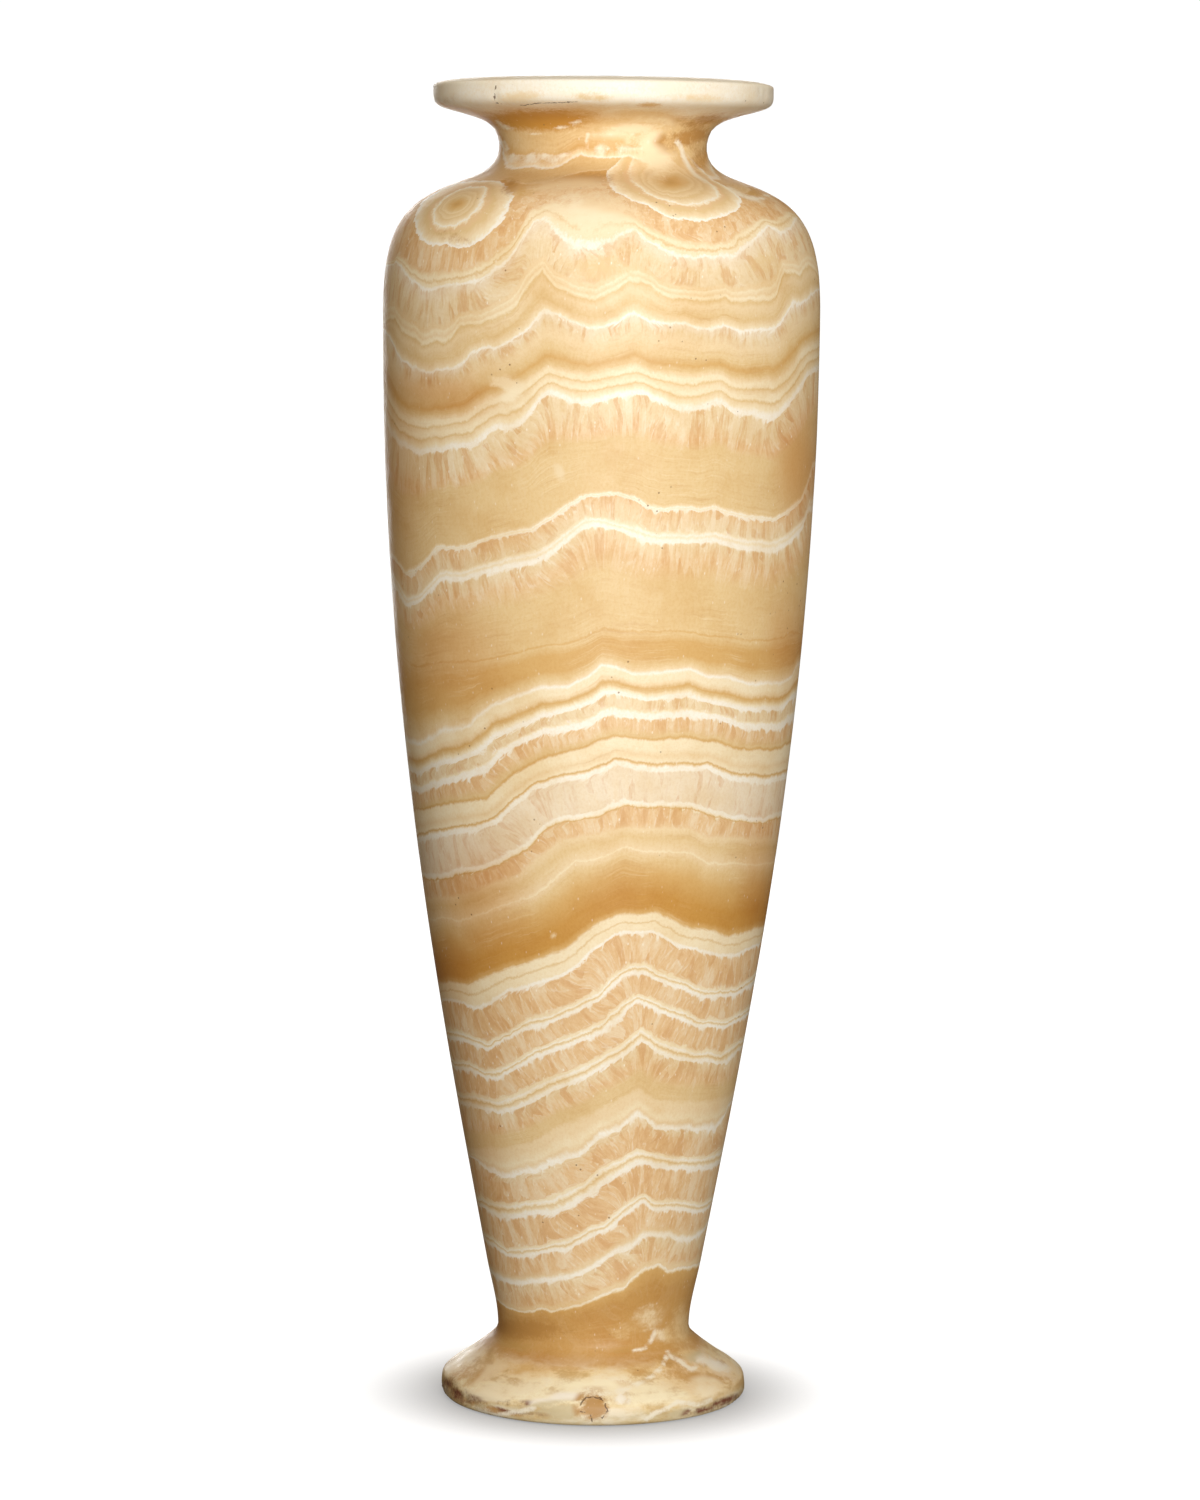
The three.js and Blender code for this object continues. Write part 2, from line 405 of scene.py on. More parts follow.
        line=[(454, 1062), (464, 1061), (484, 1071), (502, 1070), (512, 1063), (538, 1050), (553, 1045),
              (579, 1033), (604, 1022), (622, 1005), (637, 996), (655, 1003), (681, 1011), (701, 1022),
              (724, 1022), (739, 1015), (749, 1010)],
        **DOUBLE_TOP,
    ),
    "second double line, foot": dict(
        line=[(455, 1068), (469, 1070), (484, 1077), (499, 1079), (512, 1070), (528, 1061), (553, 1054),
              (579, 1042), (604, 1033), (622, 1017), (637, 1001), (655, 1010), (681, 1019), (696, 1026),
              (724, 1028), (739, 1021), (749, 1015)],
        **DOUBLE_FOOT,
    ),
    "third double line, top": dict(
        line=[(460, 1094), (474, 1095), (497, 1101), (512, 1096), (528, 1089), (553, 1079), (579, 1068),
              (604, 1056), (624, 1045), (641, 1030), (655, 1039), (675, 1047), (696, 1053), (721, 1054),
              (737, 1043), (744, 1039)],
        **DOUBLE_TOP,
    ),
    "third double line, foot": dict(
        line=[(461, 1103), (476, 1109), (499, 1114), (517, 1110), (533, 1104), (553, 1093), (579, 1082),
              (604, 1068), (624, 1058), (642, 1043), (660, 1054), (681, 1062), (706, 1063), (726, 1066),
              (737, 1053), (743, 1047)],
        below=[(0.4, "rose"), (6, "tan"), (9, "honey")],
    ),
    "scalloped band, top": dict(
        line=[(471, 1150), (502, 1147), (533, 1142), (563, 1124), (594, 1112), (624, 1096), (640, 1089),
              (655, 1099), (681, 1101), (706, 1101), (726, 1099)],
        above=[(3, "honey"), (0.5, "honey")],
        within=[(0.12, "pale"), (0.35, "pale"), (0.6, "cream"), (0.75, "pale"), (0.9, "white")],
    ),
    "scalloped band, foot": dict(
        line=[(476, 1160), (489, 1172), (502, 1179), (517, 1177), (543, 1174), (558, 1164), (579, 1158),
              (599, 1141), (619, 1132), (637, 1117), (646, 1121), (655, 1130), (681, 1131), (714, 1133),
              (724, 1119), (729, 1104)],
        below=[(0, "white"), (0.5, "rose"), (4, "tan")],
    ),
    "fourth double line, top": dict(
        line=[(477, 1198), (489, 1201), (507, 1204), (530, 1202), (549, 1200), (566, 1190), (584, 1183),
              (599, 1170), (619, 1160), (637, 1150), (655, 1155), (681, 1158), (706, 1158), (719, 1153)],
        **DOUBLE_TOP,
    ),
    "fourth double line, foot": dict(
        line=[(481, 1206), (491, 1212), (500, 1218), (512, 1218), (535, 1214), (551, 1216), (567, 1209),
              (576, 1203), (594, 1194), (619, 1174), (640, 1163), (655, 1168), (681, 1169), (706, 1170),
              (718, 1165)],
        **DOUBLE_FOOT,
    ),
    "fifth double line, top": dict(
        line=[(487, 1235), (496, 1241), (507, 1250), (523, 1248), (542, 1247), (560, 1242), (576, 1237),
              (590, 1229), (604, 1225), (615, 1214), (631, 1202), (645, 1195), (652, 1201), (666, 1202),
              (684, 1203), (700, 1205), (711, 1201)],
        **DOUBLE_TOP,
    ),
    "fifth double line, foot": dict(
        line=[(488, 1242), (498, 1249), (509, 1256), (523, 1257), (544, 1252), (567, 1251), (581, 1242),
              (594, 1236), (610, 1229), (622, 1218), (638, 1204), (645, 1202), (652, 1209), (663, 1210),
              (679, 1211), (693, 1213), (707, 1210)],
        **DOUBLE_FOOT,
    ),
    "soft white line": dict(
        line=[(491, 1272), (500, 1280), (516, 1283), (535, 1282), (553, 1280), (571, 1278), (590, 1271),
              (604, 1260), (617, 1253), (631, 1247), (643, 1236), (654, 1234), (668, 1235), (679, 1241),
              (691, 1240), (702, 1232)],
        above=[(3, "tan"), (1.5, "pale")],
        below=[(-0.4, "white"), (0.4, "white"), (1.3, "rose")],
    ),
    "lowest thin line": dict(
        line=[(496, 1299), (505, 1307), (519, 1312), (532, 1312), (542, 1309), (551, 1312), (565, 1309),
              (580, 1306), (597, 1299), (613, 1292), (624, 1288), (631, 1279), (645, 1268), (659, 1265),
              (668, 1271), (682, 1267), (691, 1267), (700, 1265)],
        above=[(2.5, "tan"), (1.2, "pale"), (0.4, "pale")],
        below=[(0, "white"), (0.4, "cream"), (0.9, "deep"), (4, "ochre"), (12, "ochre")],
    ),
}

# The stone of the rim above the first vein and of the foot below the last one, by height
RIM_STONE = [(400, "cream"), (399.5, "white"), (392, "white"), (389.5, "honey"), (386, "honey")]
FOOT_STONE = [(21, "ochre"), (15.8, "ochre"), (13.5, "straw"), (11, "ivory"), (7, "ivory"), (4.5, "straw"),
              (2.5, "grey"), (0, "straw")]

# The eyes: growths whose layers close round a core. Each ring is given by points round it in the photograph,
# and the rings are the edge of the core, the first white fringe and the outer white fringe
EYES = {
    "left_eye": dict(
        centre=(456, 205),
        rings=[
            [(472, 197), (466, 207), (456, 212), (446, 213), (441, 209), (446, 202), (456, 197), (465, 194)],
            [(434, 212), (434, 220), (438, 226), (447, 226), (457, 223), (466, 218), (473, 212), (480, 204),
             (480, 200), (486, 190), (484, 187), (475, 187), (463, 189), (452, 195), (441, 203)],
            [(414, 220), (417, 236), (424, 244), (435, 246), (446, 245), (457, 249), (467, 248), (478, 243),
             (487, 235), (498, 226), (506, 215), (510, 204), (515, 197), (513, 192), (504, 183), (495, 181),
             (480, 181), (466, 182), (449, 187), (434, 195), (421, 203)],
        ],
    ),
    "right_eye": dict(
        centre=(671, 182),
        rings=[
            [(696, 184), (690, 189), (680, 192), (668, 192), (656, 189), (648, 182), (648, 175), (656, 172),
             (671, 172), (686, 176)],
            [(630, 176), (633, 181), (641, 187), (651, 194), (664, 199), (676, 202), (688, 204), (700, 203),
             (711, 200), (719, 196), (715, 187), (706, 181), (697, 176), (690, 168), (683, 156), (681, 147),
             (672, 136), (657, 130), (642, 136), (634, 155), (631, 168)],
            [(606, 172), (608, 183), (613, 191), (625, 197), (636, 202), (648, 205), (656, 211), (665, 216),
             (676, 220), (688, 221), (700, 222), (711, 221), (723, 217), (735, 213), (742, 205), (743, 200),
             (736, 194), (728, 188), (712, 180), (699, 168), (688, 156), (683, 146), (673, 133), (657, 126),
             (638, 132), (628, 150), (616, 164)],
        ],
    ),
}

# The stone of an eye from its centre out, with 1, 2 and 3 on its rings
EYE_STONE = [
    (0, "ochre"), (0.35, "deep"), (0.75, "honey"), (0.93, "pale"), (1.03, "honey"), (1.3, "pale"),
    (1.42, "honey"), (1.7, "pale"), (1.9, "cream"), (1.98, "white"), (2.06, "cream"), (2.16, "tan"),
    (2.4, "honey"), (2.62, "pale"), (2.8, "cream"), (2.92, "white"), (3.0, "white"),
]
EYE_RINGS = 3

# How many pixels outside its last ring an eye's count goes up by one, and where the count ends
EYE_BEYOND = 8
EYE_LIMIT = 6

# The heights on the neck between which the eyes fade out, in millimetres
EYES_FADE = (379, 372)

# Patches of other stone: an oval's centre, reach and tilt in the photograph, the stone and how strong it is
PATCHES = [
    ((540, 120), (54, 10), 0, "orange", 0.9),
    ((660, 121), (44, 6), 0, "deep", 0.6),
    ((700, 122), (26, 6), 15, "umber", 0.6),
    ((612, 144), (30, 7), 0, "deep", 0.6),
    ((655, 150), (18, 26), 10, "cream", 0.9),
    ((626, 130), (30, 5), 5, "cream", 0.9),
    ((690, 137), (22, 8), 10, "umber", 0.85),
    ((699, 158), (9, 14), 0, "umber", 0.5),
    ((568, 184), (50, 8), 6, "umber", 0.85),
    ((511, 188), (10, 9), 0, "umber", 0.7),
    ((548, 198), (30, 7), 6, "honey", 0.5),
    ((590, 214), (50, 22), -8, "pale", 0.8),
    ((588, 223), (30, 9), -8, "cream", 0.7),
    ((556, 205), (18, 5), 10, "cream", 0.5),
    ((629, 177), (10, 12), 0, "tan", 0.5),
    ((590, 84), (70, 4), 0, "white", 0.5),
    ((520, 97), (24, 6), 5, "pale", 0.7),
    ((592, 97), (22, 5), 0, "honey", 0.6),
    ((700, 98), (34, 4), -3, "pale", 0.6),
    ((650, 105), (12, 3), 0, "deep", 0.7),
    ((447, 101), (10, 4), 20, "umber", 0.3),
    ((455, 238), (26, 8), -20, "umber", 0.35),
    ((507, 383), (19, 7), -8, "pale", 0.8),
    ((510, 397), (14, 6), 25, "cream", 0.8),
    ((559, 472), (5, 9), 25, "rose", 0.9),
    ((553, 936), (3, 4), 20, "rose", 0.6),
    ((600, 268), (34, 14), 0, "honey", 0.6),
    ((764, 262), (14, 12), 0, "honey", 0.5),
    ((520, 1330), (46, 10), 0, "umber", 0.8),
    ((648, 1318), (16, 12), 30, "rose", 0.6),
    ((622, 1332), (14, 9), 0, "honey", 0.45),
    ((564, 1347), (18, 1.8), 0, "rose", 0.8),
    ((499, 1391), (32, 11), 8, "cream", 0.9),
    ((486, 1374), (26, 8), 28, "pale", 0.7),
    ((521, 1371), (14, 6), 20, "deep", 0.7),
    ((545, 1403), (24, 6), 0, "white", 1.0),
    ((572, 1397), (24, 4), -4, "white", 1.0),
    ((600, 1385), (60, 6), -3, "ivory", 0.7),
    ((566, 1411), (28, 7), 0, "grey", 0.9),
    ((666, 1335), (13, 7), 0, "cream", 0.7),
    ((694, 1356), (20, 7), -15, "grey", 0.8),
    ((674, 1367), (12, 5), -10, "umber", 0.6),
    ((698, 1377), (34, 6), -6, "ochre", 0.75),
    ((717, 1365), (13, 5), -20, "white", 0.8),
    ((650, 1398), (44, 7), 4, "ivory", 0.7),
    ((706, 1391), (12, 9), 0, "cream", 0.7),
    ((682, 1413), (12, 4), 10, "grey", 0.8),
    ((621, 1399), (6, 6), 0, "white", 0.8),
    ((594, 1407), (13, 12), 0, "umber", 0.95),
    ((462, 1374), (16, 8), 30, "ochre", 0.5),
    ((520, 1388), (24, 8), 0, "cream", 0.6),
    ((682, 1326), (12, 20), 0, "honey", 0.6),
    ((640, 1372), (16, 6), 20, "ochre", 0.5),
    ((448, 1387), (6, 9), 30, "stain", 0.75),
    ((459, 1396), (14, 5), -38, "stain", 0.7),
    ((476, 1404), (15, 4), -25, "stain", 0.6),
    ((500, 1411), (20, 3), -12, "umber", 0.8),
    ((512, 1404), (12, 2), 3, "stain", 0.4),
    ((522, 1413), (16, 1.8), -6, "stain", 0.4),
    ((724, 1402), (20, 4), 24, "stain", 0.7),
    ((704, 1410), (14, 3), 12, "stain", 0.65),
]

# How far out from the centres of patches, with 1 on the oval's edge: where a patch ends and the way back from
# there to its full strength, and where its colour starts and is whole
PATCH_END = 1.6
PATCH_FALL = 1.2
PATCH_COLOUR = (1.9, 1.3)

# Places where the stone is painted darker and more golden under its veins: mostly painted shade along both
# silhouettes and under the rim, and some of the foot's own golden tone. Each is an oval in the photograph and
# how strongly, and how far out it starts and is whole
GOLDEN_AND_EDGE_SHADE = [
    ((478, 900), (50, 54), 0, 0.45),
    ((436, 393), (60, 22), -8, 0.5),
    ((448, 652), (54, 46), 0, 0.42),
    ((800, 465), (24, 56), 0, 0.6),
    ((790, 640), (24, 40), 0, 0.45),
    ((762, 870), (20, 60), 0, 0.4),
    ((398, 470), (24, 100), 0, 0.35),
    ((450, 965), (24, 50), 0, 0.35),
    ((480, 1130), (18, 80), 12, 0.25),
    ((538, 115), (60, 14), 0, 0.3),
    ((702, 1376), (50, 22), 0, 0.35),
    ((505, 1368), (64, 16), 0, 0.3),
]
GOLDEN_AND_EDGE_SHADE_FADE = (1.5, 0.2)

# Pale veins that cross the layers: how thin each is, and points along it in the photograph, and the distance
# in pixels beyond which they don't matter
SEAMS = [
    (0, [(676, 140), (681, 147), (683, 156), (690, 168), (697, 176), (706, 181)]),
    (1.1, [(584, 136), (588, 144), (596, 148), (606, 149), (614, 146), (622, 149), (634, 149), (645, 146),
           (652, 138)]),
    (0, [(504, 143), (508, 152), (514, 157), (526, 158), (537, 152), (546, 156), (556, 158), (572, 152)]),
    (0.6, [(496, 121), (506, 128), (518, 131), (533, 133), (548, 131), (562, 127), (580, 121)]),
    (1.1, [(587, 133), (593, 138), (603, 139), (611, 134), (617, 139), (628, 138), (634, 133)]),
    (1.5, [(585, 143), (590, 153), (602, 155), (612, 151), (620, 155), (632, 153), (642, 149)]),
    (0.8, [(506, 160), (518, 164), (530, 161), (542, 164), (556, 161), (568, 156)]),
    (0, [(668, 1353), (665, 1360), (663, 1366), (658, 1371), (652, 1377), (644, 1381), (637, 1384),
         (627, 1389), (616, 1392), (600, 1394)]),
    (0, [(668, 1353), (672, 1357), (682, 1362), (688, 1368), (694, 1370), (698, 1362), (705, 1360),
         (711, 1366), (718, 1370), (729, 1366)]),
    (0.4, [(656, 1330), (652, 1340), (645, 1348), (634, 1351)]),
    (0, [(646, 1420), (655, 1413), (668, 1408), (677, 1402), (688, 1403), (698, 1405), (711, 1400)]),
    (0, [(493, 1416), (508, 1413), (522, 1411), (534, 1408)]),
    (0, [(728, 188), (743, 196), (760, 200), (768, 195)]),
]
SEAM_LIMIT = 12

# Worn and chipped places: an oval's centre, reach and tilt in the photograph, and its depth in millimetres,
# and how far out it starts and is whole
WORN = [
    ((449, 1389), (12, 8), -50, 0.7),
    ((468, 1401), (16, 5), -30, 0.6),
    ((524, 1412), (34, 4), -5, 0.4),
    ((594, 1409), (13, 12), 0, 0.25),
    ((722, 1404), (26, 5), 22, 0.7),
    ((682, 1413), (12, 4), 10, 0.5),
    ((495, 100), (5, 9), 0, 0.35),
    ((549, 104), (30, 3), 0, 0.3),
    ((446, 104), (12, 5), 20, 0.4),
    ((763, 92), (5, 10), 0, 0.3),
    ((506, 379), (16, 4), -25, 0.2),
]
WORN_FADE = (1.3, 0.5)

# The waves left by grinding: how deep they are, and for each how many there are round the vase and the height
# over which it turns by a radian, in millimetres
GROUND_DEPTH = 0.12
GROUND_WAVES = [(3, 31), (5, -19), (2, 11)]

# The drill's rings inside: how deep they are, the height over which they turn by a radian, and the height up
# to which they show, in millimetres
DRILL_DEPTH = 0.3
DRILL_PITCH = 2.2
DRILL_TO = 340

# Hairline cracks, as points along each in the photograph
CRACKS = [
    [(496, 86), (494, 94), (497, 104)],
    [(522, 106), (538, 103), (556, 104), (577, 101)],
    [(580, 1404), (585, 1398), (600, 1398), (604, 1402), (608, 1410), (602, 1418)],
    [(581, 1410), (590, 1415), (592, 1422)],
]


def camera_axes():
    """The camera's right, up and ahead, as unit vectors."""
    pitch, roll = math.radians(CAMERA_PITCH), math.radians(CAMERA_ROLL)
    level = np.array([1.0, 0.0, 0.0])
    upright = np.array([0.0, math.sin(pitch), math.cos(pitch)])
    ahead = np.array([0.0, math.cos(pitch), -math.sin(pitch)])
    right = level * math.cos(roll) + upright * math.sin(roll)
    up = upright * math.cos(roll) - level * math.sin(roll)
    return right, up, ahead


def in_photograph(places):
    """Where points of the vase come in the photograph, in pixels across and down."""
    right, up, ahead = camera_axes()
    seen = places - CAMERA_PLACE
    depth = seen @ ahead
    across = PHOTO_WIDTH / 2 + FOCAL_LENGTH * (seen @ right) / depth
    down = PHOTO_HEIGHT / 2 - FOCAL_LENGTH * (seen @ up) / depth
    return across, down


def smooth_curve(knots, values, at):
    """Values between the knots, on a smooth curve that never swings past its points."""
    step = np.diff(knots)
    slope = np.diff(values, axis=0) / step[:, None]
    before, after = slope[:-1], slope[1:]
    same_way = before * after > 0
    middle = np.where(same_way, 2 * before * after / np.where(same_way, before + after, 1), 0)
    tangent = np.vstack([slope[:1], middle, slope[-1:]])
    first = np.clip(np.searchsorted(knots, at, side="right") - 1, 0, len(step) - 1)
    reach = step[first][:, None]
    t = (at - knots[first])[:, None] / reach
    return (
        values[first] * (1 + 2 * t) * (1 - t) ** 2
        + values[first + 1] * (3 - 2 * t) * t**2
        + tangent[first] * reach * t * (1 - t) ** 2
        - tangent[first + 1] * reach * (1 - t) * t**2
    )


def smoothstep(low, high, value):
    t = np.clip((value - low) / (high - low), 0, 1)
    return t * t * (3 - 2 * t)


def solid_outline(node):
    """The solid's outline, as radius and height, from the centre of its underside to the hollow's floor."""
    places = [tuple(round(c / MM, 3) for c in vertex.co) for vertex in node.data.vertices]
    joined = {}
    for edge in node.data.edges:
        ends = [places[index] for index in edge.vertices]
        if ends[0] != ends[1] and all(end[1] == 0 and end[0] >= 0 for end in ends):
            for here, there in (ends, ends[::-1]):
                joined.setdefault(here, set()).add(there)
    chain = [(0.0, 0.0, 0.0)]
    ahead = joined[chain[-1]]
    while ahead:
        chain.append(ahead.pop())
        ahead = joined[chain[-1]] - set(chain)
    return np.array(chain)[:, [0, 2]]


def rows_along(outline):
    """Rows of points along a smoothed outline, closer on the foot's edge and on the rim, and few inside."""
    length = np.append(0, np.cumsum(np.linalg.norm(np.diff(outline, axis=0), axis=1)))
    level = outline[:, 1]
    top = np.argmax(level)
    mouth = top + np.argmax(level[top:] < level[top])
    base = 1
    dense = np.linspace(length[base], length[mouth], OUTLINE_SAMPLES)
    height = smooth_curve(length, outline, dense)[:, 1]
    weight = 1 + FINE_SHARE * ((height < FINE_BELOW) | (height > FINE_ABOVE))
    share = np.cumsum(weight) / weight.sum()
    outside = np.interp(np.linspace(share[0], 1, OUTSIDE_ROWS), share, dense)
    outside[0] = length[base]
    under = np.linspace(0, length[base], UNDERSIDE_ROWS)[:-1]
    inside = np.linspace(length[mouth], length[-1], INSIDE_ROWS)[1:]
    along = np.concatenate([under, outside, inside])
    kind = np.repeat(["under", "outside", "inside"], [len(under), len(outside), len(inside)])
    return smooth_curve(length, outline, along), along / length[-1], kind


def turns():
    """The angle of each meridian, from the middle of the front and anticlockwise seen from above."""
    front = np.linspace(-90, 90, FRONT_STEPS + 1)
    back = np.linspace(90, 270, BACK_STEPS + 1)[1:-1]
    return np.radians(np.concatenate([front, back]))


def revolve(rows, angles):
    """Points of the surface, as rows by angles by x, y, z."""
    radius, height = rows[:, 0, None], rows[:, 1, None]
    return np.stack([radius * np.sin(angles), -radius * np.cos(angles), height + 0 * angles], axis=-1)


def crossing(across, down, line):
    """How far along its meridian each one meets a line of the photograph, as a row number, or nan."""
    found = np.full(across.shape[1], np.nan)
    xs, ys = np.array(line, float).T
    above = down - np.interp(across, xs, ys)
    inside = (across >= xs[0]) & (across <= xs[-1])
    for index in range(across.shape[1]):
        change = np.flatnonzero((above[:-1, index] > 0) & (above[1:, index] <= 0) & inside[:-1, index])
        if len(change):
            row = change[0]
            found[index] = row + above[row, index] / (above[row, index] - above[row + 1, index])
    return found


def wave(share, height):
    """How a vein rises and falls round the back: slow swells, and hanging lobes between upward points."""
    swells = sum(
        high * np.sin(2 * np.pi * (count * share + start) + height / drift)
        for high, count, start, drift in BACK_WAVES
    )
    lobes = 1 - np.abs(np.sin(np.pi * (LOBES_ROUND * share + LOBES_SHIFT * math.sin(height / LOBES_DRIFT))))
    return swells + LOBES_HIGH * lobes**LOBES_POINTED - LOBES_BELOW


def round_the_back(heights, angles):
    """Fills in a vein's height where the photograph doesn't show it."""
    known = np.flatnonzero(~np.isnan(heights))
    first, last = known[0], known[-1]
    start, end = angles[last], angles[first] + 2 * np.pi
    turned = np.where(angles < angles[first], angles + 2 * np.pi, angles)
    hidden = (turned > start) & (turned < end)
    share = (turned - start) / (end - start)
    blend = smoothstep(0, 1, share)
    fade = smoothstep(0, BACK_BLEND, share) * smoothstep(0, BACK_BLEND, 1 - share)
    across = heights[last] * (1 - blend) + heights[first] * blend
    middle = np.nanmean(heights)
    filled = np.interp(np.arange(len(heights)), known, heights[known])
    return np.where(hidden, across + fade * wave(share, middle), filled)


def vein_heights(across, down, rows, angles):
    """The height of each vein on each meridian, from the top vein down, in order and apart."""
    outside_down = np.where(np.abs(angles) <= math.radians(SHOWN_TO), down, np.nan)
    every_row = np.arange(len(rows))
    lines = []
    for vein in VEINS.values():
        met = crossing(across, outside_down, vein["line"])
        heights = np.interp(met, every_row, rows[:, 1])
        heights[np.isnan(met)] = np.nan
        lines.append(round_the_back(heights, angles))
    for upper, lower in zip(lines[:-1], lines[1:]):
        np.minimum(lower, upper - VEIN_GAP, out=lower)
    return np.array(lines)


def strata(places, heights):
    """For each point, the mean height of the layer it is in, so that a layer has one value all round, and the
    mean height of each vein."""
    levels = heights.mean(axis=1)
    top, bottom = places[..., 2].max(), FOOT_STONE[0][0]
    knots = np.concatenate([[top], levels, [bottom, 0]])
    result = np.empty(places.shape[:2])
    for index in range(places.shape[1]):
        own = np.concatenate([[top], heights[:, index], [bottom, 0]])
        result[:, index] = np.interp(places[:, index, 2], own[::-1], knots[::-1])
    return result, levels


def crystal_roots(places, heights, angles):
    """Where each point's crystal is rooted in the vein above it, so that crystals fan out square to it."""
    ends = 2 * ROOT_SMOOTHING
    wrapped = np.concatenate([heights[:, -ends:], heights, heights[:, :ends]], axis=1)
    turned = np.concatenate([angles[-ends:] - 2 * np.pi, angles, angles[:ends] + 2 * np.pi])
    window = np.hanning(ends + 1) / np.hanning(ends + 1).sum()
    smooth = np.array([np.convolve(row, window, mode="same") for row in wrapped])
    slopes = np.gradient(smooth, turned, axis=1)[:, ends:-ends]
    result = places[..., :2].copy()
    for index, angle in enumerate(angles):
        height, radius = places[:, index, 2], np.maximum(np.hypot(*places[:, index, :2].T), 1)
        below = np.clip(np.searchsorted(-heights[:, index], -height) - 1, 0, len(heights) - 1)
        drop = np.clip(heights[below, index] - height, 0, CRYSTAL_REACH)
        lean = drop * slopes[below, index] / radius
        result[:, index] -= lean[:, None] * np.array([math.cos(angle), math.sin(angle)])
    return result


def in_oval(across, down, centre, reach, tilt):
    """How far out each point is from an oval's centre, 1 on its edge, with the oval in pixels and degrees."""
    turn = math.radians(tilt)
    x, y = across - centre[0], centre[1] - down
    along = x * math.cos(turn) + y * math.sin(turn)
    aside = y * math.cos(turn) - x * math.sin(turn)
    return np.hypot(along / reach[0], aside / reach[1])


def ring_edge(bearing, centre, ring):
    """How far from an eye's centre its ring is, in pixels, in each direction."""
    across, down = np.array(ring, float).T - np.array(centre, float)[:, None]
    return np.interp(bearing, np.arctan2(down, across), np.hypot(across, down), period=2 * math.pi)


def in_eye(across, down, centre, rings):
    """How far out each point is in an eye: 0 at its centre, then 1, 2 and 3 on its rings."""
    distance = np.hypot(across - centre[0], down - centre[1])
    bearing = np.arctan2(down - centre[1], across - centre[0])
    outer = [ring_edge(bearing, centre, ring) for ring in rings]
    inner = [0 * distance] + outer[:-1]
    steps = [np.clip((distance - low) / (high - low), 0, 1) for low, high in zip(inner, outer)]
    return sum(steps) + np.maximum(distance - outer[-1], 0) / EYE_BEYOND


def from_line(across, down, line):
    """The distance of each point from a line of the photograph, in pixels."""
    nearest = np.full(across.shape, np.inf)
    for (x0, y0), (x1, y1) in zip(line[:-1], line[1:]):
        reach = (x1 - x0) ** 2 + (y1 - y0) ** 2
        share = np.clip(((across - x0) * (x1 - x0) + (down - y0) * (y1 - y0)) / reach, 0, 1)
        own = np.hypot(across - x0 - share * (x1 - x0), down - y0 - share * (y1 - y0))
        nearest = np.minimum(nearest, own)
    return nearest


def patches(across, down):
    """The colour of the patches, and how strongly each point is in one, falling off evenly over its edge."""
    tones = np.zeros(across.shape + (3,)) + linear(TINTS["between patches"])[:3]
    strength = np.zeros(across.shape)
    for *oval, stone, share in PATCHES:
        far = in_oval(across, down, *oval)
        near = share * np.clip((PATCH_END - far) / PATCH_FALL, 0, 1)
        taken = smoothstep(*PATCH_COLOUR, far)[..., None]
        tones = tones * (1 - taken) + taken * np.array(stone_colour(stone)[:3])
        strength = np.maximum(strength * (1 - near), near)
    return tones, strength


def golden_and_edge_shade(across, down):
    """How golden and darker each point is: painted shade along the silhouettes and under the rim, and the
    foot's own golden tone.
    """
    shares = [share * smoothstep(*GOLDEN_AND_EDGE_SHADE_FADE, in_oval(across, down, *oval)) for *oval, share in GOLDEN_AND_EDGE_SHADE]
    return np.max(shares, axis=0)


def worn_down(places, across, down, shown, kind):
    """The points moved inwards by grinding and wear on the outside. The drill's rings inside would move
    points outwards, but the clip to 1 leaves them where they are.
    """
    bearing = np.arctan2(places[..., 0], -places[..., 1])
    height = places[..., 2]
    waves = sum(np.sin(count * bearing + height / pitch) for count, pitch in GROUND_WAVES)
    outside, inside = (kind == "outside")[:, None], (kind == "inside")[:, None]
    depth = outside * GROUND_DEPTH * (len(GROUND_WAVES) + waves) / (2 * len(GROUND_WAVES))
    grit = np.random.default_rng(11).random(height.shape)
    grit = (grit + np.roll(grit, 1, axis=0) + np.roll(grit, 1, axis=1)) / 3
    for *oval, deep in WORN:
        depth += shown * deep * grit * smoothstep(*WORN_FADE, in_oval(across, down, *oval))
    depth -= inside * DRILL_DEPTH * (0.5 + 0.5 * np.sin(height / DRILL_PITCH)) * (height < DRILL_TO)
    radius = np.maximum(np.hypot(places[..., 0], places[..., 1]), 1e-6)
    result = places.copy()
    result[..., :2] *= np.clip(1 - depth / radius, 0, 1)[..., None]
    return result


def on_vase(across, down, places, spot):
    """The point of the vase's front that comes at a spot of the photograph, in millimetres."""
    far = np.where(places[..., 1] < 0, np.hypot(across - spot[0], down - spot[1]), np.inf)
    return places[np.unravel_index(np.argmin(far), far.shape)]


